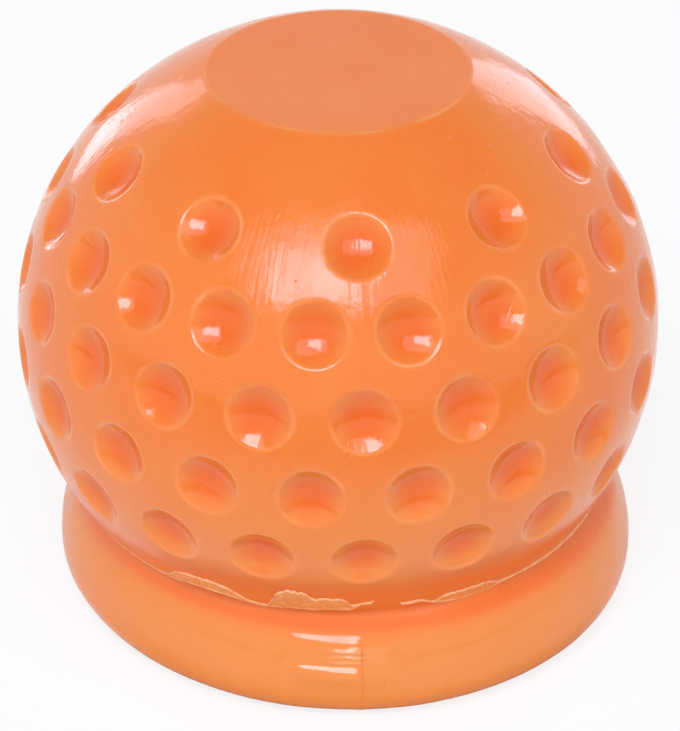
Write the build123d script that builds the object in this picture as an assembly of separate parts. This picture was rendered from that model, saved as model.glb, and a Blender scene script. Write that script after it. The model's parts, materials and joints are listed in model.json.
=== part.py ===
# Soft moulded cover that pulls over a standard towing ball: a hollow dimpled ball with a flat
# on top, and below it a short bulging skirt with a rounded rim around the mouth.
# Millimetres. Z is up, and the origin is the centre of the rim that the cover stands on.
# The -Y side is the front, where the mould's parting line runs down through a dimple.
from build123d import *
import os
from math import acos, asin, atan2, cos, degrees, radians, sin, sqrt

# The towing ball and the hollow that holds it
tow_ball_diameter = 50.0
ball_clearance = 1.0        # gap all round the towing ball
neck_grip = 5.0             # how far the lip reaches in under the towing ball
neck_length = 3.0           # straight face of the lip
mouth_depth = 6.9           # from the rim up to the lip
mouth_flare = 2.5           # how much wider the mouth is than the lip, on the radius

# The outside of the ball
wall_thickness = 6.5        # at the ball's widest ring
crown_thickness = 4.5       # between the hollow and the top flat
pole_drop = 1.65            # how much shorter the ball is from its centre to a pole than to its side
top_flat_diameter = 26.0

# The skirt
skirt_height = 11.5         # from the rim up to the crease where the skirt leaves the ball
rim_land = 4.1              # flat ring that the cover stands on
rim_round = 3.3             # radius of the rim's outer edge, up to the skirt's widest ring

# The dimples, in level rows round the ball, every other row turned by half a step
dimple_diameter = 6.4
dimple_depth = 1.3
top_row_angle = 45.0        # above the ball's widest ring
row_angle = 15.0            # from one row down to the next
row_count = 5
dimples_per_row = 20
dimples_in_top_row = 10
front_angle = -90.0         # the front, as an angle about Z from +X

# Radii, from the hollow outwards
cavity_radius = tow_ball_diameter / 2 + ball_clearance
neck_radius = tow_ball_diameter / 2 - neck_grip
mouth_radius = neck_radius + mouth_flare
rim_radius = mouth_radius + rim_land
ball_radius = cavity_radius + wall_thickness
ball_half_height = ball_radius - pole_drop
top_flat_radius = top_flat_diameter / 2

# Heights, from the rim upwards
neck_top = mouth_depth + neck_length
cavity_centre = neck_top + sqrt(cavity_radius**2 - neck_radius**2)
cavity_top = cavity_centre + cavity_radius
top_height = cavity_top + crown_thickness
ball_centre = top_height - ball_half_height * sqrt(1 - (top_flat_radius / ball_radius) ** 2)


def section():
    """Half of the cover's upright section, from the axis outwards."""
    flat_angle = degrees(acos(top_flat_radius / ball_radius))
    crease_angle = degrees(asin((skirt_height - ball_centre) / ball_half_height))
    neck_lower = (neck_radius, mouth_depth)
    neck_upper = (neck_radius, neck_top)
    mouth = (mouth_radius, 0)
    with BuildSketch(Plane.XZ) as sketch:
        with BuildLine():
            Line((0, top_height), (top_flat_radius, top_height))
            ball = EllipticalCenterArc(
                (0, ball_centre),
                ball_radius,
                ball_half_height,
                flat_angle,
                arc_size=crease_angle - flat_angle,
            )
            rim = CenterArc((rim_radius, rim_round), rim_round, -90, 90)
            # the skirt's bulge runs on from its widest ring up to the crease under the ball
            TangentArc(rim @ 1, ball @ 1, tangent=rim % 1)
            Line((rim_radius, 0), mouth)
            TangentArc(neck_lower, mouth, tangent=(0, -1))
            Line(neck_lower, neck_upper)
            RadiusArc(neck_upper, (0, cavity_top), -cavity_radius)
            Line((0, cavity_top), (0, top_height))
        make_face()
    return sketch.sketch


def dimple_cutters():
    """Balls that press the dimples into the cover's face, square to it."""
    edge = dimple_diameter / 2
    bowl_depth = dimple_depth - (ball_radius - sqrt(ball_radius**2 - edge**2))
    bowl_radius = (edge**2 + bowl_depth**2) / (2 * bowl_depth)
    lift = bowl_radius - dimple_depth
    half_step = 180 / dimples_per_row
    cutters = []
    for row in range(row_count):
        angle = radians(top_row_angle - row * row_angle)
        # the face's own direction at this row, outwards and upwards
        lean = atan2(sin(angle) / ball_half_height, cos(angle) / ball_radius)
        reach = ball_radius * cos(angle) + lift * cos(lean)
        height = ball_centre + ball_half_height * sin(angle) + lift * sin(lean)
        count = dimples_per_row if row else dimples_in_top_row
        turn = front_angle + half_step * (row % 2)
        cutters += Pos(0, 0, height) * PolarLocations(reach, count, turn) * Sphere(bowl_radius)
    return cutters


cover = revolve(section(), Axis.Z) - dimple_cutters()
os.makedirs("parts", exist_ok=True)
export_step(cover, "parts/cover.step")
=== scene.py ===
# A soft orange cover for a towing ball: the dimpled hollow ball with its flat top, the bulging skirt,
# the mould's parting line and the ragged flash in the crease between ball and skirt.
# Metres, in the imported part's frame: Z is up from the rim, and -Y is the front.
import json
import math
import bpy
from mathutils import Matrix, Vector


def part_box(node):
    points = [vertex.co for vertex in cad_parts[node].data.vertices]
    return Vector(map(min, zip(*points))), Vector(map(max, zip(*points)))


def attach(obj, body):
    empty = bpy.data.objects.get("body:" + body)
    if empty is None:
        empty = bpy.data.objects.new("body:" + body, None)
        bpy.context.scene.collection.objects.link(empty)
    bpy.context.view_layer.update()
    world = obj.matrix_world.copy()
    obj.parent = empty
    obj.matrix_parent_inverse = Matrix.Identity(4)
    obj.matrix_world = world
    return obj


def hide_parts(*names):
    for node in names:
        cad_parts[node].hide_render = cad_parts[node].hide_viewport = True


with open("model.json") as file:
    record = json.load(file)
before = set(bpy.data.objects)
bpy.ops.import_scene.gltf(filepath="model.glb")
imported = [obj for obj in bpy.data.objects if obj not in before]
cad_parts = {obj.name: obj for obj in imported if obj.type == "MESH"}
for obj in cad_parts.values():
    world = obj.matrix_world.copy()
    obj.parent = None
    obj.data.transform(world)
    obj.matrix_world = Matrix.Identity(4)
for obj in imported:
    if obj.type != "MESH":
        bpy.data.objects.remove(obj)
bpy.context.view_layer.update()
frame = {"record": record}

MM = 0.001
FRONT = -math.pi / 2        # the front's angle about Z, from +X

# Sizes that the frame gives
cover_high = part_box("cover")[1]
mounts = {mount["name"]: mount for mount in frame["record"]["mounts"]}
top_height = cover_high.z
cavity_centre = mounts["ball_seat"]["pos_m"][2]
neck_radius = mounts["neck"]["dims"]["r_mm"] * MM
neck_half_length = mounts["neck"]["dims"]["length_mm"] * MM / 2
neck_middle = mounts["neck"]["pos_m"][2]

# Sizes of the moulding
ball_radius = 32.5 * MM
ball_half_height = 30.85 * MM
cavity_radius = 26.0 * MM
top_flat_radius = 13.0 * MM
mouth_radius = 22.5 * MM
rim_radius = 26.6 * MM
rim_round = 3.3 * MM
skirt_height = 11.5 * MM
dimple_radius = 3.2 * MM
dimple_depth = 1.3 * MM
top_row_angle = 45.0
row_angle = 15.0
row_count = 5
dimples_per_row = 20
dimples_in_top_row = 10

# Edges that the moulding softens
dimple_edge_round = 0.22 * MM
top_edge_round = 0.3 * MM
crease_round = 0.35 * MM
mouth_edge_round = 0.8 * MM
lip_round = 0.7 * MM

# What the moulding left on it, and how far the painted shade in the crease and the painted highlights on
# the edges reach
skirt_offset = 0.7 * MM     # the skirt sits this far to one side of the ball
skirt_skew = 0.024          # and slants to that side towards the front
crease_shade_above = 4.2 * MM     # how far up the ball the crease's painted shade reaches
crease_shade_below = 1.9 * MM     # and how far down the skirt
edge_highlight_width = 0.18 * MM       # how wide the painted highlights along the edges of the dimples and the top flat are
parting_height = 0.035 * MM
parting_width = 0.35 * MM
parting_line = 0.14 * MM    # how wide its deeper colour is
parting_fade = 8 * MM       # how far below the top it begins to fade
parting_end = 2 * MM        # and how far below the top it ends

# How uneven the faces are, as the size, the strength and the seed of each unevenness
broad_wave = (16 * MM, 0.10 * MM, 3.0)
small_wave = (5 * MM, 0.02 * MM, 7.0)

# The flash in the crease
flash_foot = 0.4 * MM       # it lies on the ball, this far above the crease
flash_least = 0.30 * MM     # how high it is where it is trimmed close
flash_shortest = 0.2 * MM   # how high it is at the least where it is torn
flash_root = 0.2 * MM       # how deep it is rooted in the ball
flash_thickness = 0.15 * MM
flash_bead = 0.11 * MM      # half the width of the beads along its two edges
flash_tears = (380.0, 11.0)     # its torn edge, as waves round the crease and a seed
flash_gaps = (24.0, 29.0)       # where it is trimmed away, as waves and a seed
gap_swing = 0.5 * MM        # how far the height that is left swings there
gap_limit = 0.22 * MM       # what is lower than this is sunk under the ball's face
flash_crinkle = (0.55 * MM, 1.0, 19.0)  # size, strength and seed
flash_glints = (0.5 * MM, 1.6, 23.0)
glint_height = (0.5 * MM, 1.5 * MM)     # how high the flash is where painted glints begin, and where they are full
film_share, bead_share = 0.45, 0.8      # how thick the film is, and how much thicker its beads
crinkle_least, crinkle_more = 0.06 * MM, 0.6    # how high its crinkles are, and what raggedness adds

# How its lower edge sways, as waves, a seed and how far
flash_sways = [(60.0, 5.0, 0.12 * MM), (220.0, 41.0, 0.15 * MM)]

# Stretches where more flash is left: degrees from the front to the middle, half the spread in degrees,
# then how much further up it begins, how much higher it is, and how ragged it is
flash_stretches = [
    (-32.5, 8.4, 0.9 * MM, 1.7 * MM, 0.30 * MM),
    (-13.3, 4.6, 0.3 * MM, 3.2 * MM, 0.80 * MM),
    (-5.3, 3.5, 0.6 * MM, 1.9 * MM, 0.40 * MM),
    (1.5, 3.0, 1.7 * MM, -0.1 * MM, 0.05 * MM),
    (5.2, 2.6, 1.2 * MM, -0.6 * MM, 0.0),
    (10.5, 3.5, 0.9 * MM, 0.0, 0.05 * MM),
    (18.5, 2.5, -0.3 * MM, 1.1 * MM, 0.30 * MM),
    (24.5, 4.5, -0.6 * MM, 1.5 * MM, 0.25 * MM),
]

# Bands of deeper colour beside the crease, painted shade and painted reflection of the orange ball and
# skirt in each other: how far above it the middle of each one is, and how wide it is
crease_shade_bands = [(3.8 * MM, 2.2 * MM), (-1.0 * MM, 0.9 * MM)]

# The pad across the parting line on the skirt's front: a small ledge along its top and one along its foot,
# as how high each one begins and how far it stands out
pad_ledges = [(9.6 * MM, 0.30 * MM), (6.8 * MM, 0.51 * MM)]
ledge_reach = 0.85 * MM     # how far down each ledge's upper face reaches
ledge_fall = 2.8            # how many reaches it takes to fall back below that
pad_left, pad_right = -8.5 * MM, 5.6 * MM
pad_left_fade, pad_right_fade = 3 * MM, 4 * MM
pad_ends = 0.4              # how much of a ledge is left at the pad's left end
pad_step = 0.55             # how much of it is lost at the parting line
step_width = 0.3 * MM       # half the width of that step

# The ripples between the ledges
ripple_pitch = 0.65 * MM
ripple_length = 1.5 * MM
ripple_height = 0.36 * MM
ripple_rise = 0.45          # how much of a ripple's pitch its under side takes
ripple_wander = 1.6         # how many pitches they wander up and down
ripple_step = 0.7           # how much of them is lost at the parting line
ripple_left = (-4.0 * MM, -1.6 * MM)    # where they begin, and where they are whole
ripple_right = (1.5 * MM, 3.5 * MM)     # where they begin to fade, and where they end
ripple_ends = 0.35 * ledge_reach        # how far they take to fade up and down

# The patch on the front that is scuffed, and how far it reaches
scuff_place = (-4.1 * MM, -23.6 * MM, 49.0 * MM)
scuff_reach = 7.5 * MM

# Colours of the plastic, as red, green, blue and opacity
BODY_ORANGE = (0.83, 0.190, 0.026, 1)
# the deeper orange is painted shade in the dimples and the crease, and the parting line's own colour
SHADE_AND_PARTING_ORANGE = (0.83, 0.125, 0.010, 1)
PALE_ORANGE = (0.83, 0.245, 0.046, 1)
# the skirt's paler orange is a painted sheen
SKIRT_SHEEN_ORANGE = (0.77, 0.255, 0.055, 1)
# the paler orange is the flash's tone, and on the cover painted highlights and pale scratches
PALER_ORANGE = (0.88, 0.330, 0.110, 1)
FLASH_HIGHLIGHT_ORANGE = (0.95, 0.480, 0.230, 1)

# How much deeper colour is mixed in as painted shade, and how much of the pale and the paler colour as
# tone, painted light from the floor, painted sheen, painted highlights and pale scratches
dimple_shade, crease_shade, band_shade = 0.8, 0.55, 0.65
drift_pale, low_floor_light, skirt_sheen_share = 0.35, 0.65, 0.6
edge_highlight, dull_edge_highlight, scratch_rub, ripple_highlight = 0.2, 0.6, 0.6, 0.8
floor_light_heights = (20 * MM, 31 * MM)     # heights between which the ball's underside, painted paler as light from the white floor below, ends

# Finish of the plastic, as roughness and as the depth of its fine relief
cover_gloss, flash_gloss = 0.08, 0.12
dulling = 0.14              # how much rougher it is where it is dull
scuff_dulling = 0.12
crease_dulling = 0.3
roughest = 0.26             # no part of the cover is rougher than this
cover_relief, flash_relief = 0.08 * MM, 0.05 * MM
draw_mark = (0.5 * MM, 5 * MM)      # how wide and how long a mark is from drawing the piece off its mould
cover_subsurface, flash_subsurface = 0.25, 0.0

# Light, where 1 is a white wall's
wall_light = 1.0
ceiling_light = 0.28
wall_top, ceiling_edge = 12, 62     # degrees up, where the walls begin to dim and where they end
lamp_colour = (0.78, 0.85, 1.0)

# Softboxes: degrees from the camera's azimuth, degrees up, distance, width and height in metres, brightness
softboxes = {
    "key": (-11, 50, 0.6, 0.31, 0.185, 9.2),
    "fill": (3, 56, 0.6, 0.69, 0.33, 2.0),
    "left lamp": (-145, 3, 0.5, 0.10, 0.11, 1.8),
    "left panel": (-146, 14, 0.5, 0.11, 0.33, 2.0),
    "right panel": (152, 12, 0.5, 0.15, 0.28, 2.1),
}

# The floor
WHITE = (1, 1, 1, 1)
PAPER_WHITE = (0.9, 0.9, 0.9, 1)
PAPER_SHADE_GREY = (0.3, 0.3, 0.3, 1)
floor_radius = 2.5
floor_drop = 0.1 * MM
floor_sides = 96
floor_white = 0.8           # how much of the floor is plain white where it is seen
far_floor_shade = (70 * MM, 150 * MM)     # how far in front the white turns grey, a painted shade that the cover mirrors and takes light from
shadow_floor = (33 * MM, 50 * MM)   # how far out the cover's shadow ends
crease_floor_shadow = (32 * MM, 38 * MM)   # how far out the painted shadow that the crease mirrors ends
front_floor_shadow = (10 * MM, 24 * MM)    # and how far in front that painted shadow begins

# Mesh sizes
turned_columns = 400
flash_columns = 1440
flash_rows = 33
top_spacing, ball_spacing = 1.3 * MM, 0.48 * MM
skirt_spacing, pad_spacing = 0.45 * MM, 0.13 * MM
rim_spacing, land_spacing = 0.5 * MM, 1.1 * MM
mouth_spacing, neck_spacing, cavity_spacing = 0.9 * MM, 1.0 * MM, 1.9 * MM
weld = 0.001 * MM           # points nearer than this are one

# The photograph's camera
image_width, image_height = 680, 731
camera_elevation = 31.8
camera_azimuth = -4.5       # degrees from the front, towards -X
camera_distance = 325.0 * MM
camera_aim_drop = 4.93 * MM
camera_aim_right = 0.17 * MM
focal_pixels = 3192.0

ball_centre = top_height - ball_half_height * math.sqrt(1 - (top_flat_radius / ball_radius) ** 2)
crease_angle = math.degrees(math.asin((skirt_height - ball_centre) / ball_half_height))
crease_radius = ball_radius * math.cos(math.radians(crease_angle))


# Outlines

def along(start, end, step):
    """Points on a straight line from start to end, about a step apart."""
    start, end = Vector(start), Vector(end)
    count = max(1, round((end - start).length / step))
    return [start.lerp(end, i / count) for i in range(count + 1)]


def around(centre, radii, start, end, step):
    """Points on an ellipse's arc, from one angle in degrees to another, about a step apart."""
    turn = math.radians(end - start)
    count = max(2, round(abs(turn) * max(radii) / step))
    angles = [math.radians(start) + turn * i / count for i in range(count + 1)]
    across, up = radii
    return [Vector((centre[0] + across * math.cos(a), centre[1] + up * math.sin(a))) for a in angles]


def tangent_arc(start, direction, end, step):
    """Points on the arc that leaves start in a direction and ends at end."""
    start, end, direction = Vector(start), Vector(end), Vector(direction).normalized()
    side = Vector((-direction.y, direction.x))
    chord = end - start
    bend = chord.length_squared / (2 * chord.dot(side))
    centre = start + side * bend
    first = (start - centre).angle_signed(Vector((1, 0)))
    turn = (end - centre).angle_signed(start - centre)
    degrees = math.degrees(first), math.degrees(first + turn)
    return around(centre, (abs(bend), abs(bend)), *degrees, step)


def joined(stretches, softness):
    """The stretches as one outline, with the corner after each one rounded by its softness."""
    outline = list(stretches[0])
    for stretch, soft in zip(stretches[1:], softness):
        corner = stretch[0]
        if soft == 0:
            outline += stretch[1:]
            continue
        before = [p for p in outline if (p - corner).length > soft]
        after = [p for p in stretch if (p - corner).length > soft]
        a = corner + (before[-1] - corner).normalized() * soft
        b = corner + (after[0] - corner).normalized() * soft
        bends = [a.lerp(corner, t).lerp(corner.lerp(b, t), t) for t in (0, 0.2, 0.4, 0.6, 0.8, 1)]
        outline = before + bends + after
    return outline


def skirt_bulge():
    """The skirt's bulge from the crease down to its widest ring, with close points across the pad."""
    widest = rim_radius + rim_round
    inward, up = widest - crease_radius, skirt_height - rim_round
    bend = (inward**2 + up**2) / (2 * inward)
    centre = (widest - bend, rim_round)
    pad_top, pad_foot = pad_ledges[0][0], pad_ledges[1][0] - 1.4 * ledge_reach
    heights = [skirt_height, pad_top, pad_foot, rim_round]
    angles = [math.degrees(math.asin((height - rim_round) / bend)) for height in heights]
    arcs = zip(angles, angles[1:], [skirt_spacing, pad_spacing, skirt_spacing])
    return [around(centre, (bend, bend), start, end, step) for start, end, step in arcs]


def cover_outline():
    """The cover's upright section, from the top's middle down the outside and up the inside."""
    flat_angle = math.degrees(math.acos(top_flat_radius / ball_radius))
    rim_middle = (rim_radius, rim_round)
    neck_lower = (neck_radius, neck_middle - neck_half_length)
    neck_upper = (neck_radius, neck_middle + neck_half_length)
    neck_angle = math.degrees(math.asin((neck_upper[1] - cavity_centre) / cavity_radius))
    mouth = tangent_arc(neck_lower, (0, -1), (mouth_radius, 0), mouth_spacing)
    stretches = [
        along((0, top_height), (top_flat_radius, top_height), top_spacing),
        around((0, ball_centre), (ball_radius, ball_half_height), flat_angle, crease_angle, ball_spacing),
        *skirt_bulge(),
        around(rim_middle, (rim_round, rim_round), 0, -90, rim_spacing),
        along((rim_radius, 0), (mouth_radius, 0), land_spacing),
        mouth[::-1],
        along(neck_lower, neck_upper, neck_spacing),
        around((0, cavity_centre), (cavity_radius, cavity_radius), neck_angle, 90, cavity_spacing),
    ]
    softness = [top_edge_round, crease_round, 0, 0, 0, 0, mouth_edge_round, 0, lip_round]
    return joined(stretches, softness)


# Node helpers

def put(tree, kind, inputs=(), **settings):
    """Adds a node, with its settings, and links or sets its inputs by name or number."""
    node = tree.nodes.new(kind)
    for name, value in settings.items():
        setattr(node, name, value)
    for key, value in dict(inputs).items():
        if isinstance(value, bpy.types.NodeSocket):
            tree.links.new(value, node.inputs[key])
        else:
            node.inputs[key].default_value = value
    return node


def out(tree, kind, inputs=(), **settings):
    """The first output of a node that is added."""
    return put(tree, kind, inputs, **settings).outputs[0]


def calc(tree, operation, *values):
    """A number worked out by a Math node."""
    return out(tree, "ShaderNodeMath", enumerate(values), operation=operation)


def plus(tree, first, second):
    """The sum of two numbers."""
    return calc(tree, "ADD", first, second)


def minus(tree, first, second):
    """One number less another."""
    return calc(tree, "SUBTRACT", first, second)


def rest(tree, value):
    """What a number lacks of 1."""
    return calc(tree, "SUBTRACT", 1.0, value)


def times(tree, first, second):
    """The product of two numbers."""
    return calc(tree, "MULTIPLY", first, second)


def over(tree, first, second):
    """One number divided by another."""
    return calc(tree, "DIVIDE", first, second)


def larger(tree, first, second):
    """The larger of two numbers."""
    return calc(tree, "MAXIMUM", first, second)


def smaller(tree, first, second):
    """The smaller of two numbers."""
    return calc(tree, "MINIMUM", first, second)


def vec(tree, operation, *values):
    """A vector worked out by a Vector Math node."""
    return out(tree, "ShaderNodeVectorMath", enumerate(values), operation=operation)


def scaled(tree, vector, factor):
    """A vector times a number."""
    return out(tree, "ShaderNodeVectorMath", {0: vector, 3: factor}, operation="SCALE")


def measure(tree, operation, *values):
    """A number that a Vector Math node measures, such as a length."""
    return put(tree, "ShaderNodeVectorMath", enumerate(values), operation=operation).outputs[1]


def xyz(tree, x, y, z):
    """A vector from its three numbers."""
    return out(tree, "ShaderNodeCombineXYZ", {0: x, 1: y, 2: z})


def parts_of(tree, vector):
    """The three numbers of a vector."""
    return put(tree, "ShaderNodeSeparateXYZ", {0: vector}).outputs


def smooth_step(tree, value, low, high):
    """0 below low, 1 above high, and a smooth rise between."""
    inputs = {"Value": value, "From Min": low, "From Max": high}
    return out(tree, "ShaderNodeMapRange", inputs, interpolation_type="SMOOTHSTEP")


def ramp(tree, value, low, high):
    """0 below low, 1 above high, and a straight rise between."""
    return out(tree, "ShaderNodeMapRange", {"Value": value, "From Min": low, "From Max": high})


def hump(tree, value, width):
    """1 where the value is 0, falling smoothly to 0 at about twice the width."""
    share = over(tree, value, width)
    return calc(tree, "POWER", math.e, times(tree, times(tree, share, share), -1.0))


def noise_of(tree, vector, size, detail):
    """Noise with lumps of about a size, from 0 to 1."""
    inputs = {"Vector": vector, "Scale": 1 / size, "Detail": detail}
    return out(tree, "ShaderNodeTexNoise", inputs)


def new_shape_tree(name, sizes, counts):
    """A geometry tree with named sizes and counts and a plastic, and its input and output nodes."""
    tree = bpy.data.node_groups.new(name, "GeometryNodeTree")
    sockets = [("Geometry", "Geometry")] + [(label, "Float") for label in sizes]
    sockets += [(label, "Int") for label in counts] + [("Plastic", "Material")]
    for label, kind in sockets:
        tree.interface.new_socket(label, in_out="INPUT", socket_type="NodeSocket" + kind)
    tree.interface.new_socket("Geometry", in_out="OUTPUT", socket_type="NodeSocketGeometry")
    return tree, put(tree, "NodeGroupInput").outputs, put(tree, "NodeGroupOutput")


def add_object(name, data):
    """An object that is added to the scene."""
    item = bpy.data.objects.new(name, data)
    bpy.context.scene.collection.objects.link(item)
    return item


def made_by(tree, source, name, values):
    """A plain mesh object, made by running a geometry tree on a source object."""
    modifier = source.modifiers.new(tree.name, "NODES")
    modifier.node_group = tree
    for item in tree.interface.items_tree:
        if item.in_out == "INPUT" and item.name in values:
            modifier[item.identifier] = values[item.name]
    source.update_tag()
    graph = bpy.context.evaluated_depsgraph_get()
    mesh = bpy.data.meshes.new_from_object(source.evaluated_get(graph), depsgraph=graph)
    bpy.data.objects.remove(source)
    mesh.name = name
    return add_object(name, mesh)


def outline_curve(points):
    """A curve object through the points of an outline, with the radius as X and the height as Z."""
    curve = bpy.data.curves.new("outline", "CURVE")
    curve.dimensions = "3D"
    spline = curve.splines.new("POLY")
    spline.points.add(len(points) - 1)
    for point, place in zip(spline.points, points):
        point.co = (place.x, 0, place.y, 1)
    return add_object("outline", curve)


# Shape trees

def position(tree):
    """The place of each point."""
    return out(tree, "GeometryNodeInputPosition")


def shift_by(tree, mesh, offset):
    """The mesh with each point moved by an offset."""
    return out(tree, "GeometryNodeSetPosition", {0: mesh, "Offset": offset})


def welded(tree, mesh):
    """The mesh with points in the same place made one."""
    return out(tree, "GeometryNodeMergeByDistance", {0: mesh, "Distance": weld})


def place_at(tree, geometry, index):
    """The place of one point of a geometry, by its number."""
    inputs = {"Geometry": geometry, "Value": position(tree), "Index": index}
    return out(tree, "GeometryNodeSampleIndex", inputs, data_type="FLOAT_VECTOR", domain="POINT")


def ring_grid(tree, columns, rows):
    """A grid to roll into a ring: its mesh, each point's row, and its turn round the ring from 0 to 1."""
    sizes = {"Vertices X": plus(tree, columns, 1.0), "Vertices Y": rows}
    grid = put(tree, "GeometryNodeMeshGrid", sizes).outputs["Mesh"]
    index = out(tree, "GeometryNodeInputIndex")
    row = calc(tree, "MODULO", index, rows)
    column = calc(tree, "FLOOR", over(tree, index, rows))
    return grid, row, over(tree, column, columns)


def turn_outline(tree, outline, columns):
    """The outline turned about Z as a grid of columns: its mesh, and each point's place and row."""
    size = put(tree, "GeometryNodeAttributeDomainSize", {0: outline}, component="CURVE").outputs
    grid, row, turn = ring_grid(tree, columns, size["Point Count"])
    angle = times(tree, turn, 2 * math.pi)
    point = place_at(tree, outline, row)
    radius, _, height = parts_of(tree, point)
    x = times(tree, radius, calc(tree, "COSINE", angle))
    y = times(tree, radius, calc(tree, "SINE", angle))
    return grid, xyz(tree, x, y, height), row


def dimple_centres(tree, given):
    """The middles of all the dimples, as points on the ball's face."""
    join = put(tree, "GeometryNodeJoinGeometry")
    for row in range(row_count):
        drop = times(tree, given["Row Angle"], float(row))
        angle = minus(tree, given["Top Row Angle"], drop)
        reach = times(tree, given["Ball Radius"], calc(tree, "COSINE", angle))
        rise = times(tree, given["Ball Half Height"], calc(tree, "SINE", angle))
        count = given["Dimples Per Row"] if row else given["Dimples In Top Row"]
        half_step = over(tree, math.pi * (row % 2), given["Dimples Per Row"])
        circle = out(tree, "GeometryNodeMeshCircle", {"Vertices": count, "Radius": 1.0})
        placed = {
            "Geometry": circle,
            "Translation": xyz(tree, 0.0, 0.0, plus(tree, given["Ball Centre"], rise)),
            "Rotation": xyz(tree, 0.0, 0.0, plus(tree, half_step, FRONT)),
            "Scale": xyz(tree, reach, reach, 1.0),
        }
        tree.links.new(out(tree, "GeometryNodeTransform", placed), join.inputs[0])
    return join.outputs[0]


def pressed_place(tree, given, centres):
    """Each point's place with the dimples pressed in, how deep it lies in one, and how near its edge."""
    gather_reach = 1.6 * MM     # how far from its edge a dimple draws the mesh lines in
    gather = 0.55               # and how much
    least = 1e-6
    place = position(tree)
    nearest = out(tree, "GeometryNodeSampleNearest", {0: centres}, domain="POINT")
    centre = place_at(tree, centres, nearest)
    cx, cy, cz = parts_of(tree, centre)
    shape = calc(tree, "POWER", over(tree, given["Ball Radius"], given["Ball Half Height"]), 2.0)
    up = times(tree, minus(tree, cz, given["Ball Centre"]), shape)
    outward = vec(tree, "NORMALIZE", xyz(tree, cx, cy, up))
    away = vec(tree, "SUBTRACT", place, centre)
    height = measure(tree, "DOT_PRODUCT", away, outward)
    across = vec(tree, "SUBTRACT", away, scaled(tree, outward, height))
    distance = larger(tree, measure(tree, "LENGTH", across), least)

    # the mesh lines are drawn together at the dimple's edge, so that the edge is crisp
    edge = given["Dimple Radius"]
    share = over(tree, minus(tree, distance, edge), gather_reach)
    share = larger(tree, smaller(tree, share, 1.0), -1.0)
    pull = minus(tree, share, calc(tree, "POWER", share, 3.0))
    drawn = minus(tree, distance, times(tree, pull, gather * gather_reach))
    ratio = over(tree, drawn, distance)
    face = times(tree, height, times(tree, ratio, ratio))

    # the bowl is part of a ball whose middle stands above the face
    square = times(tree, edge, edge)
    radius_square = times(tree, given["Ball Radius"], given["Ball Radius"])
    rise = calc(tree, "SQRT", minus(tree, radius_square, square))
    sag = minus(tree, given["Ball Radius"], rise)
    bowl_depth = minus(tree, given["Dimple Depth"], sag)
    depth_square = times(tree, bowl_depth, bowl_depth)
    bowl = over(tree, plus(tree, square, depth_square), times(tree, bowl_depth, 2.0))
    lift = minus(tree, bowl, given["Dimple Depth"])
    under = minus(tree, times(tree, bowl, bowl), times(tree, drawn, drawn))
    floor = minus(tree, lift, calc(tree, "SQRT", larger(tree, under, 0.0)))
    pressed = calc(tree, "SMOOTH_MIN", face, floor, given["Edge Softness"])

    moved = vec(tree, "ADD", centre, scaled(tree, across, ratio))
    moved = vec(tree, "ADD", moved, scaled(tree, outward, pressed))
    depth = over(tree, minus(tree, face, pressed), given["Dimple Depth"])
    return moved, depth, hump(tree, minus(tree, drawn, edge), edge_highlight_width)


def on_ball(tree, given):
    """True on the ball's outer face, and not on the hollow's."""
    near_face = 0.97
    x, y, z = parts_of(tree, position(tree))
    x = over(tree, x, given["Ball Radius"])
    y = over(tree, y, given["Ball Radius"])
    z = over(tree, minus(tree, z, given["Ball Centre"]), given["Ball Half Height"])
    return calc(tree, "GREATER_THAN", measure(tree, "LENGTH", xyz(tree, x, y, z)), near_face)


def uneven(tree, size, strength, seed):
    """Soft unevenness over the surface, as a number about zero."""
    moved = vec(tree, "ADD", position(tree), (seed, seed, seed))
    noise = noise_of(tree, moved, size, 2.0)
    return times(tree, minus(tree, noise, 0.5), 2 * strength)


def wave(tree):
    """How uneven the whole moulding is."""
    return plus(tree, uneven(tree, *broad_wave), uneven(tree, *small_wave))


def parting_ridge(tree, outside):
    """How far the parting line stands out, down the front and the back."""
    x, _, z = parts_of(tree, position(tree))
    ridge = times(tree, hump(tree, x, parting_width), parting_height)
    below_top = rest(tree, smooth_step(tree, z, top_height - parting_fade, top_height - parting_end))
    return times(tree, times(tree, ridge, below_top), outside)


def skirt_shift(tree):
    """How far each point is shifted sideways: nothing on the ball, and more towards the skirt's front."""
    _, y, z = parts_of(tree, position(tree))
    low, high = skirt_height - 2 * MM, skirt_height + 1.5 * MM
    below = rest(tree, smooth_step(tree, z, low, high))
    shift = minus(tree, skirt_offset, times(tree, y, skirt_skew))
    return xyz(tree, times(tree, below, shift), 0.0, 0.0)


def pad_face(tree, place):
    """1 on the rippled face between the pad's ledges, up to the parting line, and less past it."""
    x, y, z = parts_of(tree, place)
    left = smooth_step(tree, x, *ripple_left)
    right = rest(tree, times(tree, smooth_step(tree, x, -step_width, step_width), ripple_step))
    right_end = rest(tree, smooth_step(tree, x, *ripple_right))
    low, high = pad_ledges[1][0], pad_ledges[0][0] - ledge_reach
    foot = smooth_step(tree, z, low, low + ripple_ends)
    top = smooth_step(tree, z, high - ripple_ends, high)
    field = times(tree, minus(tree, foot, top), calc(tree, "LESS_THAN", y, 0.0))
    return times(tree, field, times(tree, left, times(tree, right, right_end)))


def pad_ripples(tree, place):
    """Level ripples on the pad's face that look mostly upwards, as how far they stand out."""
    z = parts_of(tree, place)[2]
    cells = vec(tree, "DIVIDE", place, (ripple_length, ripple_length, 1.5 * ripple_pitch))
    wander = times(tree, noise_of(tree, cells, 1.0, 1.0), ripple_wander)
    saw = calc(tree, "FRACT", plus(tree, over(tree, z, ripple_pitch), wander))
    under = over(tree, saw, ripple_rise)
    ripple = smaller(tree, under, over(tree, rest(tree, saw), 1 - ripple_rise))
    return times(tree, times(tree, pad_face(tree, place), ripple), ripple_height)


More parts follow.
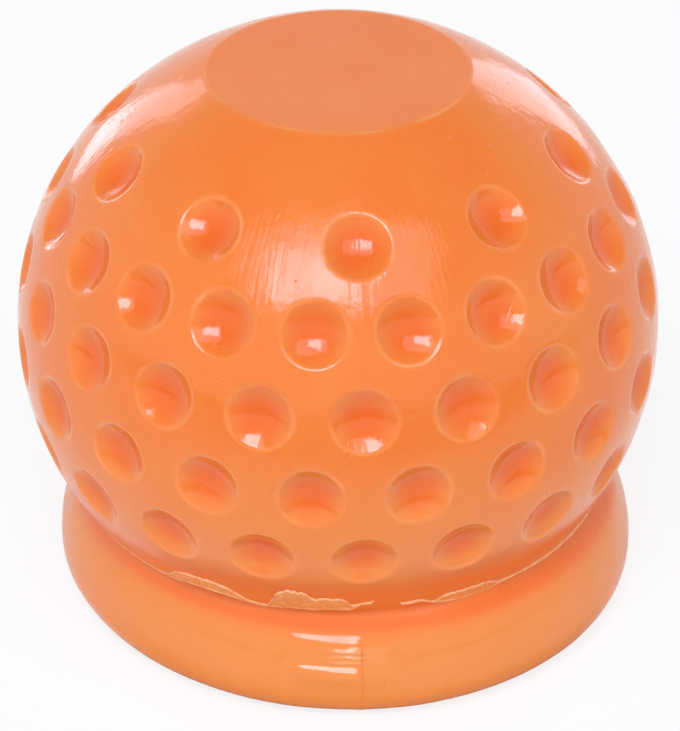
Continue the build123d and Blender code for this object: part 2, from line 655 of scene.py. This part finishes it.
def front_pad(tree, outside):
    """How far the pad stands out of the skirt's front: less to the left and past the parting line."""
    place = position(tree)
    x, y, z = parts_of(tree, place)
    grown = plus(tree, pad_ends, times(tree, ramp(tree, x, pad_left, 0.0), 1 - pad_ends))
    rise = 0.0
    for high, depth in pad_ledges:
        low = minus(tree, high, times(tree, grown, ledge_reach))
        upper = rest(tree, ramp(tree, z, low, high))
        lower = smooth_step(tree, z, minus(tree, low, ledge_fall * ledge_reach), low)
        rise = plus(tree, rise, times(tree, times(tree, upper, lower), depth))
    left = times(tree, smooth_step(tree, x, pad_left, pad_left + pad_left_fade), grown)
    past = times(tree, smooth_step(tree, x, -step_width, step_width), pad_step)
    right = rest(tree, smooth_step(tree, x, pad_right - pad_right_fade, pad_right))
    right = times(tree, rest(tree, past), right)
    ledges = times(tree, times(tree, left, right), rise)
    front = times(tree, calc(tree, "LESS_THAN", y, 0.0), outside)
    return times(tree, plus(tree, ledges, pad_ripples(tree, place)), front)


def crease_shade_mask(tree, outside):
    """1 in the crease between ball and skirt, falling to 0 above and below it: where the colour is painted
    deeper as shade, and where the plastic is rougher.
    """
    z = parts_of(tree, position(tree))[2]
    above = minus(tree, z, skirt_height)
    up = hump(tree, larger(tree, above, 0.0), crease_shade_above)
    down = hump(tree, smaller(tree, above, 0.0), crease_shade_below)
    return times(tree, times(tree, up, down), outside)


def top_edge(tree):
    """1 along the edge of the top flat, falling to 0 on both sides of it."""
    x, y, z = parts_of(tree, position(tree))
    across = minus(tree, measure(tree, "LENGTH", xyz(tree, x, y, 0.0)), top_flat_radius)
    upper = calc(tree, "GREATER_THAN", z, top_height - 1 * MM)
    return times(tree, hump(tree, across, edge_highlight_width), upper)


def kept(tree, mesh, name, value):
    """The mesh with a number stored on each point under a name."""
    inputs = {0: mesh, "Name": name, "Value": value}
    return out(tree, "GeometryNodeStoreNamedAttribute", inputs, data_type="FLOAT", domain="POINT")


def finished(tree, mesh, material, output):
    """Ends a tree: smooth, with no instances, and with its material."""
    mesh = out(tree, "GeometryNodeSetShadeSmooth", {0: mesh})
    mesh = out(tree, "GeometryNodeRealizeInstances", {0: mesh})
    mesh = out(tree, "GeometryNodeSetMaterial", {0: mesh, "Material": material})
    tree.links.new(mesh, output.inputs[0])


def cover_tree():
    """The whole cover, turned from its outline and pressed with dimples."""
    sizes = ["Ball Radius", "Ball Half Height", "Ball Centre", "Dimple Radius", "Dimple Depth"]
    sizes += ["Edge Softness", "Top Row Angle", "Row Angle"]
    counts = ["Columns", "Dimples Per Row", "Dimples In Top Row", "Outside Rows"]
    tree, given, output = new_shape_tree("dimpled cover", sizes, counts)
    grid, turned, row = turn_outline(tree, given["Geometry"], given["Columns"])
    mesh = out(tree, "GeometryNodeSetPosition", {0: grid, "Position": turned})
    mesh = kept(tree, mesh, "outside", calc(tree, "LESS_THAN", row, given["Outside Rows"]))
    mesh = out(tree, "GeometryNodeFlipFaces", {0: welded(tree, mesh)})
    outside = out(tree, "GeometryNodeInputNamedAttribute", {"Name": "outside"}, data_type="FLOAT")

    moved, depth, edge = pressed_place(tree, given, dimple_centres(tree, given))
    ball = on_ball(tree, given)
    # the edges of the dimples and the top flat, where a highlight is painted paler
    mesh = kept(tree, mesh, "edge", larger(tree, times(tree, edge, ball), top_edge(tree)))
    # how deep each point lies in a dimple, where the colour is painted deeper as shade
    mesh = kept(tree, mesh, "dimple", times(tree, depth, ball))
    mesh = out(tree, "GeometryNodeSetPosition", {0: mesh, "Selection": ball, "Position": moved})

    # where the crease's colour is painted deeper as shade
    mesh = kept(tree, mesh, "crease", crease_shade_mask(tree, outside))
    mesh = shift_by(tree, mesh, skirt_shift(tree))
    raised = plus(tree, parting_ridge(tree, outside), front_pad(tree, outside))
    normal = out(tree, "GeometryNodeInputNormal")
    mesh = shift_by(tree, mesh, scaled(tree, normal, plus(tree, wave(tree), raised)))
    finished(tree, mesh, given["Plastic"], output)
    return tree


def wobble(tree, angle, waves, seed):
    """A number from about -1 to 1 that wanders with the angle, in so many waves, and closes on itself."""
    turned = xyz(tree, calc(tree, "SINE", angle), calc(tree, "COSINE", angle), seed)
    inputs = {"Vector": turned, "Scale": waves / (2 * math.pi), "Detail": 3.0}
    noise = out(tree, "ShaderNodeTexNoise", inputs)
    return times(tree, minus(tree, noise, 0.5), 2.0)


def flash_band(tree, angle):
    """Where the flash begins at an angle from the front, how high it is there, and how ragged."""
    foot, high, ragged = 0.0, flash_least, 0.0
    for middle, half, more_foot, more_high, tear in flash_stretches:
        share = over(tree, minus(tree, angle, math.radians(middle)), math.radians(half))
        fall = hump(tree, times(tree, share, share), 1.0)
        foot = plus(tree, foot, times(tree, fall, more_foot))
        high = plus(tree, high, times(tree, fall, more_high))
        ragged = plus(tree, ragged, times(tree, fall, tear))
    return foot, high, ragged


def flash_edges(tree, angle):
    """Where the flash's foot is at an angle, how high and ragged the flash is, and how far it is sunk."""
    foot, high, ragged = flash_band(tree, angle)
    torn = times(tree, ragged, wobble(tree, angle, *flash_tears))
    left_on = plus(tree, high, times(tree, wobble(tree, angle, *flash_gaps), gap_swing))
    sunk = rest(tree, smooth_step(tree, left_on, 0.0, gap_limit))
    high = larger(tree, plus(tree, high, torn), flash_shortest)
    sway = 0.0
    for waves, seed, reach in flash_sways:
        sway = plus(tree, sway, times(tree, wobble(tree, angle, waves, seed), reach))
    return plus(tree, foot, plus(tree, sway, flash_foot)), high, ragged, sunk


def ball_face(tree, given, angle, height):
    """The place on the ball's face at an angle from the front and a height, and the way that it looks."""
    level = over(tree, minus(tree, height, given["Ball Centre"]), given["Ball Half Height"])
    girth = calc(tree, "SQRT", rest(tree, times(tree, level, level)))
    radius = times(tree, given["Ball Radius"], girth)
    sine, cosine = calc(tree, "SINE", angle), times(tree, calc(tree, "COSINE", angle), -1.0)
    place = xyz(tree, times(tree, radius, sine), times(tree, radius, cosine), height)
    slope = over(tree, girth, given["Ball Radius"])
    fall = over(tree, level, given["Ball Half Height"])
    outward = xyz(tree, times(tree, slope, sine), times(tree, slope, cosine), fall)
    return place, vec(tree, "NORMALIZE", outward)


def flash_beads(tree, given, climb, high):
    """1 along the flash's two edges, falling to 0 between them."""
    lower = hump(tree, minus(tree, climb, given["Bead"]), given["Bead"])
    upper = hump(tree, minus(tree, minus(tree, high, climb), given["Bead"]), given["Bead"])
    return larger(tree, lower, upper)


def flash_tree():
    """The film of plastic squeezed out along the crease: it lies on the ball, and its edges are beaded."""
    sizes = ["Ball Radius", "Ball Half Height", "Ball Centre", "Crease Height", "Thickness", "Bead"]
    tree, given, output = new_shape_tree("moulding flash", sizes, ["Columns", "Rows"])
    grid, row, turn = ring_grid(tree, given["Columns"], given["Rows"])
    angle = times(tree, minus(tree, turn, 0.5), 2 * math.pi)

    # rows go up the outer face from its lower edge to its upper edge, and down again inside the ball
    round_trip = over(tree, row, minus(tree, given["Rows"], 1.0))
    outer = calc(tree, "LESS_THAN", round_trip, 0.5)
    swing = calc(tree, "COSINE", times(tree, round_trip, 2 * math.pi))
    share = times(tree, rest(tree, swing), 0.5)
    foot, high, ragged, sunk = flash_edges(tree, angle)
    climb = times(tree, share, high)
    height = plus(tree, plus(tree, given["Crease Height"], foot), climb)
    face, outward = ball_face(tree, given, angle, height)

    # a bead along each edge, and crinkles where the film is ragged
    bead = flash_beads(tree, given, climb, high)
    body = times(tree, plus(tree, times(tree, bead, bead_share), film_share), given["Thickness"])
    rough = plus(tree, times(tree, ragged, crinkle_more), crinkle_least)
    crinkle = times(tree, uneven(tree, *flash_crinkle), rough)
    middle = times(tree, times(tree, share, rest(tree, share)), 4.0)
    body = plus(tree, body, times(tree, calc(tree, "ABSOLUTE", crinkle), middle))
    inside = calc(tree, "GREATER_THAN", middle, 0.001)
    root = times(tree, rest(tree, outer), flash_root)
    offset = times(tree, minus(tree, times(tree, body, outer), root), inside)
    offset = minus(tree, offset, times(tree, sunk, 2.5 * flash_thickness))

    # painted highlights: the beads and, where the flash stands high, glints on its crinkles, stored as edge
    wide = smooth_step(tree, high, *glint_height)
    glints = calc(tree, "ABSOLUTE", uneven(tree, *flash_glints))
    pale = plus(tree, bead, times(tree, glints, wide))
    mesh = out(tree, "GeometryNodeSetPosition", {0: grid, "Position": face})
    mesh = kept(tree, mesh, "edge", smaller(tree, pale, 1.0))
    mesh = shift_by(tree, mesh, scaled(tree, outward, plus(tree, offset, wave(tree))))
    mesh = shift_by(tree, welded(tree, mesh), skirt_shift(tree))
    finished(tree, mesh, given["Plastic"], output)
    return tree


# Materials

def mixed(tree, share, first, second):
    """One colour mixed into another by a share from 0 to 1."""
    inputs = {0: share, 6: first, 7: second}
    return put(tree, "ShaderNodeMix", inputs, data_type="RGBA").outputs[2]


def drawn_out(tree, vector, turn, size, length):
    """The place measured in cells that are drawn out along Z, turned by the angles given in degrees."""
    turns = [math.radians(angle) for angle in turn]
    inputs = {"Vector": vector, "Rotation": turns, "Scale": (size, size, length)}
    return out(tree, "ShaderNodeMapping", inputs, vector_type="TEXTURE")


def lengthwise(tree, place):
    """The place as if the face were unrolled: along it from the front, and upwards."""
    x, y, z = parts_of(tree, place)
    angle = calc(tree, "ARCTAN2", x, times(tree, y, -1.0))
    return xyz(tree, times(tree, angle, 0.8 * ball_radius), 0.0, z)


def draw_marks(tree, place):
    """Noise in streaks that run up the face, from drawing the piece off its mould."""
    cells = drawn_out(tree, lengthwise(tree, place), (0, 0, 0), *draw_mark)
    return noise_of(tree, cells, 1.0, 1.0)


def scratches(tree, vector, turn):
    """A few short straight scratches that run one way."""
    cells = drawn_out(tree, vector, turn, 1.6 * MM, 45 * MM)
    voronoi = put(tree, "ShaderNodeTexVoronoi", {"Vector": cells, "Scale": 1.0})
    return hump(tree, voronoi.outputs["Distance"], 0.04)


def skin_group():
    """The skin that both plastics share: drifting colour, uneven gloss, scratches and a fine relief."""
    group = bpy.data.node_groups.new("moulded skin", "ShaderNodeTree")
    group.interface.new_socket("Vector", in_out="INPUT", socket_type="NodeSocketVector")
    for label in ("Drift", "Dull", "Scratch", "Height"):
        group.interface.new_socket(label, in_out="OUTPUT", socket_type="NodeSocketFloat")
    place = put(group, "NodeGroupInput").outputs["Vector"]
    output = put(group, "NodeGroupOutput")

    drift = smooth_step(group, noise_of(group, place, 9 * MM, 3.0), 0.35, 0.70)
    dull = smooth_step(group, noise_of(group, place, 4 * MM, 4.0), 0.40, 0.75)
    one_way = scratches(group, place, (12, -14, 0))
    other_way = scratches(group, place, (-30, 28, 0))
    scratch = larger(group, one_way, other_way)

    # orange peel, finer grain, and faint marks from drawing the piece off its mould
    peel = times(group, noise_of(group, place, 1.8 * MM, 2.0), 0.6)
    grain = times(group, noise_of(group, place, 0.4 * MM, 1.0), 0.15)
    drawn = times(group, draw_marks(group, place), 0.2)
    height = plus(group, plus(group, peel, grain), minus(group, drawn, scratch))
    for label, value in (("Drift", drift), ("Dull", dull), ("Scratch", scratch), ("Height", height)):
        group.links.new(value, output.inputs[label])
    return group


def new_plastic(name, subsurface):
    """A glossy plastic: its material, its tree, its shader, the place on it and its skin's outputs."""
    material = bpy.data.materials.new(name)
    material.use_nodes = True
    tree = material.node_tree
    shader = tree.nodes["Principled BSDF"]
    shader.inputs["IOR"].default_value = 1.5
    shader.inputs["Subsurface Weight"].default_value = subsurface
    shader.inputs["Subsurface Radius"].default_value = (1.0, 0.35, 0.12)
    shader.inputs["Subsurface Scale"].default_value = 1.5 * MM
    place = put(tree, "ShaderNodeTexCoord").outputs["Object"]
    skin = put(tree, "ShaderNodeGroup", {"Vector": place}, node_tree=SKIN)
    return material, tree, shader, place, skin.outputs


def set_finish(tree, shader, colour, roughness, height, relief):
    """Links a plastic's colour, its roughness and its fine relief, which is so deep."""
    bump = {"Strength": 1.0, "Distance": relief, "Height": height}
    normal = out(tree, "ShaderNodeBump", bump)
    for label, value in (("Base Color", colour), ("Roughness", roughness), ("Normal", normal)):
        tree.links.new(value, shader.inputs[label])


def stored(tree, name):
    """A number that the shape tree stored on the piece."""
    return put(tree, "ShaderNodeAttribute", attribute_name=name).outputs["Fac"]


def band_shade_share(tree, place):
    """How much painted shade and reflection deepens the colour in the bands beside the crease."""
    z = parts_of(tree, place)[2]
    share = 0.0
    for above, width in crease_shade_bands:
        share = plus(tree, share, hump(tree, minus(tree, z, skirt_height + above), width))
    return times(tree, times(tree, share, band_shade), stored(tree, "outside"))


def parting_depth(tree, place, skin):
    """How deep the parting line's colour is: strong on the skirt, faint on the ball, and none on top."""
    z = parts_of(tree, place)[2]
    skirt = minus(tree, 0.8, times(tree, smooth_step(tree, z, 0.9 * skirt_height, 14 * MM), 0.6))
    ball = rest(tree, smooth_step(tree, z, 40 * MM, 48 * MM))
    return times(tree, times(tree, skirt, ball), plus(tree, skin["Dull"], 0.3))


def shade_and_parting_share(tree, place, skin, parting):
    """How much deeper the colour is: painted shade in the dimples and in and beside the crease, and the
    parting line's own darker colour.
    """
    # painted shade in the dimples, in the crease and in the bands beside it
    hollow = smooth_step(tree, stored(tree, "dimple"), 0.25, 1.0)
    crease = times(tree, stored(tree, "crease"), crease_shade)
    deep = larger(tree, times(tree, hollow, dimple_shade), crease)
    deep = larger(tree, deep, band_shade_share(tree, place))
    return larger(tree, deep, times(tree, parting, parting_depth(tree, place, skin)))


def highlight_and_wear_share(tree, place, skin, parting):
    """How much paler the plastic is painted: painted highlights at its edges and on the pad's ripples, and
    pale scratches.
    """
    # painted highlights along the edges, then pale scratches
    lit_and_worn = plus(tree, edge_highlight, times(tree, skin["Dull"], dull_edge_highlight))
    lit_and_worn = times(tree, stored(tree, "edge"), lit_and_worn)
    lit_and_worn = larger(tree, lit_and_worn, times(tree, skin["Scratch"], scratch_rub))
    # painted highlight on the pad's ripples, broken along the parting line
    ripples = times(tree, pad_face(tree, place), rest(tree, parting))
    return larger(tree, lit_and_worn, times(tree, ripples, ripple_highlight))


def orange_plastic(name):
    """The cover's plastic: painted shade deepens its colour in the dimples and the crease, painted light
    makes its underside and skirt paler, and painted highlights run along its edges.
    """
    material, tree, shader, place, skin = new_plastic(name, cover_subsurface)
    x, _, z = parts_of(tree, place)
    parting = times(tree, hump(tree, x, parting_line), stored(tree, "outside"))
    # the skirt below the crease is painted paler, a painted sheen
    skirt = rest(tree, smooth_step(tree, z, 0.7 * skirt_height, skirt_height))
    # the ball's underside is painted paler, a painted light from the white floor below
    under = rest(tree, smooth_step(tree, z, *floor_light_heights))
    pale = plus(tree, times(tree, skin["Drift"], drift_pale), times(tree, under, low_floor_light))
    colour = mixed(tree, pale, BODY_ORANGE, PALE_ORANGE)
    colour = mixed(tree, times(tree, skirt, skirt_sheen_share), colour, SKIRT_SHEEN_ORANGE)
    # painted shade, and the parting line's own darker colour
    colour = mixed(tree, shade_and_parting_share(tree, place, skin, parting), colour, SHADE_AND_PARTING_ORANGE)
    colour = mixed(tree, highlight_and_wear_share(tree, place, skin, parting), colour, PALER_ORANGE)

    scuff = hump(tree, measure(tree, "DISTANCE", place, scuff_place), scuff_reach)
    roughness = plus(tree, cover_gloss, times(tree, skin["Dull"], dulling))
    roughness = plus(tree, roughness, times(tree, scuff, scuff_dulling))
    roughness = plus(tree, roughness, times(tree, stored(tree, "crease"), crease_dulling))
    roughness = smaller(tree, roughness, roughest)

    # the top flat is smoother than the rest
    top = smooth_step(tree, z, top_height - 1 * MM, top_height - 0.2 * MM)
    height = times(tree, skin["Height"], rest(tree, times(tree, top, 0.7)))
    rubs = times(tree, scuff, draw_marks(tree, place))
    height = plus(tree, height, times(tree, rubs, 0.4))
    set_finish(tree, shader, colour, roughness, height, cover_relief)
    return material


def flash_plastic(name):
    """The flash's thin plastic, with painted highlights along its beads and glints on its crinkles."""
    material, tree, shader, place, skin = new_plastic(name, flash_subsurface)
    colour = mixed(tree, skin["Drift"], PALE_ORANGE, PALER_ORANGE)
    # painted highlights along the beads and on the crinkles, broken up by noise
    broken = smooth_step(tree, noise_of(tree, place, 0.9 * MM, 2.0), 0.30, 0.65)
    pale = times(tree, stored(tree, "edge"), plus(tree, 0.1, times(tree, broken, 0.85)))
    colour = mixed(tree, pale, colour, FLASH_HIGHLIGHT_ORANGE)
    roughness = plus(tree, flash_gloss, times(tree, skin["Dull"], dulling))
    set_finish(tree, shader, colour, roughness, skin["Height"], flash_relief)
    return material


# The object

def make_cover():
    """The cover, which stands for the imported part's own solid."""
    outline = cover_outline()
    outside_rows = next(i for i, p in enumerate(outline) if p.y < weld and p.x < rim_radius - weld)
    values = {
        "Columns": turned_columns,
        "Ball Radius": ball_radius,
        "Ball Half Height": ball_half_height,
        "Ball Centre": ball_centre,
        "Dimple Radius": dimple_radius,
        "Dimple Depth": dimple_depth,
        "Edge Softness": dimple_edge_round,
        "Top Row Angle": math.radians(top_row_angle),
        "Row Angle": math.radians(row_angle),
        "Dimples Per Row": dimples_per_row,
        "Dimples In Top Row": dimples_in_top_row,
        "Outside Rows": outside_rows,
        "Plastic": orange_plastic("soft_plastic"),
    }
    return made_by(cover_tree(), outline_curve(outline), "cover_moulding", values)


def make_flash():
    """The flash in the crease, rooted in the cover."""
    values = {
        "Ball Radius": ball_radius,
        "Ball Half Height": ball_half_height,
        "Ball Centre": ball_centre,
        "Crease Height": skirt_height,
        "Thickness": flash_thickness,
        "Bead": flash_bead,
        "Columns": flash_columns,
        "Rows": flash_rows,
        "Plastic": flash_plastic("thin_plastic"),
    }
    source = outline_curve([Vector((0, 0)), Vector((0, 1))])
    return made_by(flash_tree(), source, "moulding_flash", values)


# The stage

def floor_material():
    """White paper, with painted shade far in front and a painted shadow where the crease mirrors it, and
    clear from below.
    """
    material = bpy.data.materials.new("floor")
    material.use_nodes = True
    tree = material.node_tree
    tree.nodes.remove(tree.nodes["Principled BSDF"])
    path = put(tree, "ShaderNodeLightPath").outputs
    camera = path["Is Camera Ray"]
    place = put(tree, "ShaderNodeTexCoord").outputs["Object"]
    ahead = times(tree, parts_of(tree, place)[1], -1.0)
    away = measure(tree, "LENGTH", place)
    # far in front the paper is painted grey, a painted shade for all but camera rays
    near = rest(tree, smooth_step(tree, ahead, *far_floor_shade))
    mirrored = larger(tree, path["Is Glossy Ray"], path["Is Transmission Ray"])
    mirrored = times(tree, mirrored, times(tree, near, smooth_step(tree, away, *shadow_floor)))
    seen = larger(tree, camera, mirrored)
    # a painted shadow on the floor beside the skirt's front, seen only in mirror images
    beside = rest(tree, smooth_step(tree, away, *crease_floor_shadow))
    beside = times(tree, beside, smooth_step(tree, ahead, *front_floor_shadow))
    near = times(tree, near, rest(tree, times(tree, beside, path["Is Glossy Ray"])))
    grey = mixed(tree, larger(tree, camera, near), PAPER_SHADE_GREY, PAPER_WHITE)
    paper = out(tree, "ShaderNodeBsdfDiffuse", {"Color": grey})
    white = out(tree, "ShaderNodeEmission", {"Color": WHITE, "Strength": 1.0})
    clear = out(tree, "ShaderNodeBsdfTransparent")
    seen = times(tree, seen, floor_white)
    top = out(tree, "ShaderNodeMixShader", {0: seen, 1: paper, 2: white})
    behind = put(tree, "ShaderNodeNewGeometry").outputs["Backfacing"]
    surface = out(tree, "ShaderNodeMixShader", {0: behind, 1: top, 2: clear})
    tree.links.new(surface, tree.nodes["Material Output"].inputs["Surface"])
    return material


def make_floor():
    """A plain pale floor just below the cover, open inside its rim so that light reaches the hollow."""
    points = []
    for radius in (rim_radius, floor_radius):
        for side in range(floor_sides):
            angle = 2 * math.pi * side / floor_sides
            x, y = radius * math.cos(angle), radius * math.sin(angle)
            points.append((skirt_offset + x, y, -floor_drop))
    faces = []
    for side in range(floor_sides):
        after = (side + 1) % floor_sides
        faces.append((side, floor_sides + side, floor_sides + after, after))
    mesh = bpy.data.meshes.new("floor")
    mesh.from_pydata(points, [], faces)
    mesh.materials.append(floor_material())
    floor = add_object("floor", mesh)


def make_world():
    """White walls all round that fall off to a dim ceiling, and a white background."""
    world = bpy.data.worlds.new("studio")
    bpy.context.scene.world = world
    world.use_nodes = True
    tree = world.node_tree
    upward = parts_of(tree, put(tree, "ShaderNodeTexCoord").outputs["Generated"])[2]
    low, high = math.sin(math.radians(wall_top)), math.sin(math.radians(ceiling_edge))
    ceiling = smooth_step(tree, upward, low, high)
    strength = minus(tree, wall_light, times(tree, ceiling, wall_light - ceiling_light))
    seen = put(tree, "ShaderNodeLightPath").outputs["Is Camera Ray"]
    light = out(tree, "ShaderNodeBackground", {"Color": WHITE, "Strength": strength})
    white = out(tree, "ShaderNodeBackground", {"Color": WHITE, "Strength": 1.0})
    both = out(tree, "ShaderNodeMixShader", {0: seen, 1: light, 2: white})
    tree.links.new(both, tree.nodes["World Output"].inputs["Surface"])


def view_direction(azimuth, elevation):
    """The direction from the object at an azimuth from the front and an elevation, in degrees."""
    a, e = math.radians(azimuth), math.radians(elevation)
    return Vector((math.sin(a) * math.cos(e), -math.cos(a) * math.cos(e), math.sin(e)))


def add_softbox(name, azimuth, elevation, distance, width, height, brightness):
    """A rectangular lamp that faces the ball, as bright as so many white walls."""
    lamp = bpy.data.lights.new(name, "AREA")
    lamp.shape = "RECTANGLE"
    lamp.size = width
    lamp.size_y = height
    lamp.energy = brightness * math.pi * width * height
    lamp.color = lamp_colour
    towards = view_direction(camera_azimuth + azimuth, elevation)
    holder = add_object(name, lamp)
    holder.location = Vector((0, 0, ball_centre)) + towards * distance
    holder.rotation_euler = (-towards).to_track_quat("-Z", "Y").to_euler()


def make_lights():
    """The softbox above the camera with its bright middle, and panels at both sides behind."""
    for name, placing in softboxes.items():
        add_softbox(name, *placing)


def make_camera():
    """The camera at the photograph's viewing angle."""
    towards = view_direction(camera_azimuth, camera_elevation)
    turn = (-towards).to_track_quat("-Z", "Y")
    right, up = turn @ Vector((1, 0, 0)), turn @ Vector((0, 1, 0))
    place = Vector((0, 0, ball_centre)) + towards * camera_distance
    target = Vector((0, 0, ball_centre)) + right * camera_aim_right - up * camera_aim_drop
    lens = bpy.data.cameras.new("camera")
    lens.sensor_width = 36.0
    lens.lens = focal_pixels / max(image_width, image_height) * lens.sensor_width
    lens.clip_start = 0.01
    camera = add_object("camera", lens)
    camera.location = place
    camera.rotation_euler = (target - place).to_track_quat("-Z", "Y").to_euler()
    bpy.context.scene.camera = camera


SKIN = skin_group()
cover = make_cover()
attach(cover, "root")
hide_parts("cover")

flash = make_flash()
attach(flash, "root")

make_floor()
make_world()
make_lights()
make_camera()
bpy.context.scene.view_settings.view_transform = "Standard"
